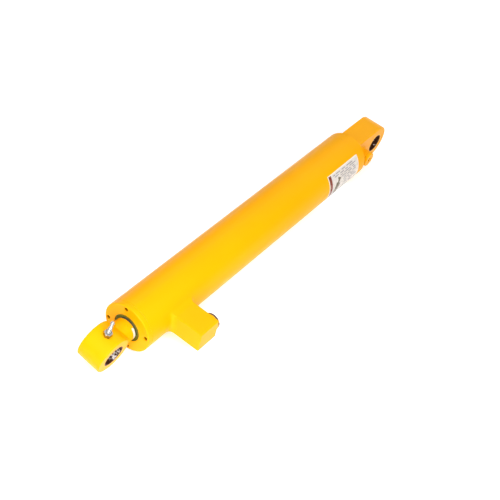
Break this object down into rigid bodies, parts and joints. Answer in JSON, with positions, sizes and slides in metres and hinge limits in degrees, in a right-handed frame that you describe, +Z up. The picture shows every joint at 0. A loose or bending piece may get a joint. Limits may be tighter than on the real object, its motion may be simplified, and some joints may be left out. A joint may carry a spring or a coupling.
{
  "type": "hydraulic cylinder",
  "caption": "Welded double-acting hydraulic cylinder with a pin eye at each end, a screwed gland, side port block and chromed rod.",
  "frame": {"origin": "centre of the base-end pin bore", "axes": "+X along the rod from the base pin to the rod eye, +Y along the base pin towards the port block side, +Z up"},
  "size_m": [0.841, 0.1455, 0.0991],
  "materials": {
    "yellow_paint": "semi-gloss yellow paint over steel",
    "rod_chrome": "hard chromed and polished",
    "steel": "turned steel, bare",
    "bush_steel": "hardened steel bush, ground bore",
    "zinc": "bright zinc plating",
    "green_seal": "green polyurethane",
    "blue_seal": "blue polyurethane",
    "black_rubber": "nitrile rubber",
    "ptfe_bronze": "bronze-filled PTFE",
    "phenolic": "woven phenolic",
    "black_plastic": "moulded polyethylene",
    "label_foil": "printed foil with plain bars, no words",
    "weld_painted": "painted weld bead"
  },
  "bodies": {
    "barrel": {"barrel_tube": "yellow_paint", "base_cap": "yellow_paint", "base_cap_weld": "weld_painted", "base_eye": "yellow_paint", "base_eye_weld": "weld_painted", "base_eye_bush": "bush_steel", "base_port_boss": "yellow_paint", "base_port_boss_weld": "weld_painted", "base_port_seal": "yellow_paint", "base_port_plug": "yellow_paint", "rod_port_block": "yellow_paint", "rod_port_block_weld": "weld_painted", "rod_port_boss": "yellow_paint", "rod_port_plug": "black_plastic", "label_plate": "label_foil", "gland": "yellow_paint", "wiper": "green_seal", "rod_seal": "blue_seal", "rod_buffer_seal": "ptfe_bronze", "rod_guide_ring": "phenolic", "gland_o_ring": "black_rubber", "gland_backup_ring": "ptfe_bronze"},
    "piston_rings": {"piston_seal": "ptfe_bronze", "piston_energizer": "black_rubber", "piston_wear_rings": "phenolic"},
    "rod": {"rod": "rod_chrome", "piston": "steel", "piston_nut": "zinc", "piston_o_ring": "black_rubber", "rod_eye": "yellow_paint", "rod_eye_weld": "weld_painted", "rod_eye_bush": "bush_steel", "grease_nipple": "zinc", "grease_nipple_ball": "steel"}
  },
  "joints": [
    {"name": "rod_slide", "type": "slide", "parent": "barrel", "child": "piston_rings", "axis": [1, 0, 0], "range_m": [0, 0.46]},
    {"name": "rod_turn", "type": "hinge", "parent": "piston_rings", "child": "rod", "pos_m": [0.4, 0, 0], "axis": [1, 0, 0], "continuous": true}
  ]
}
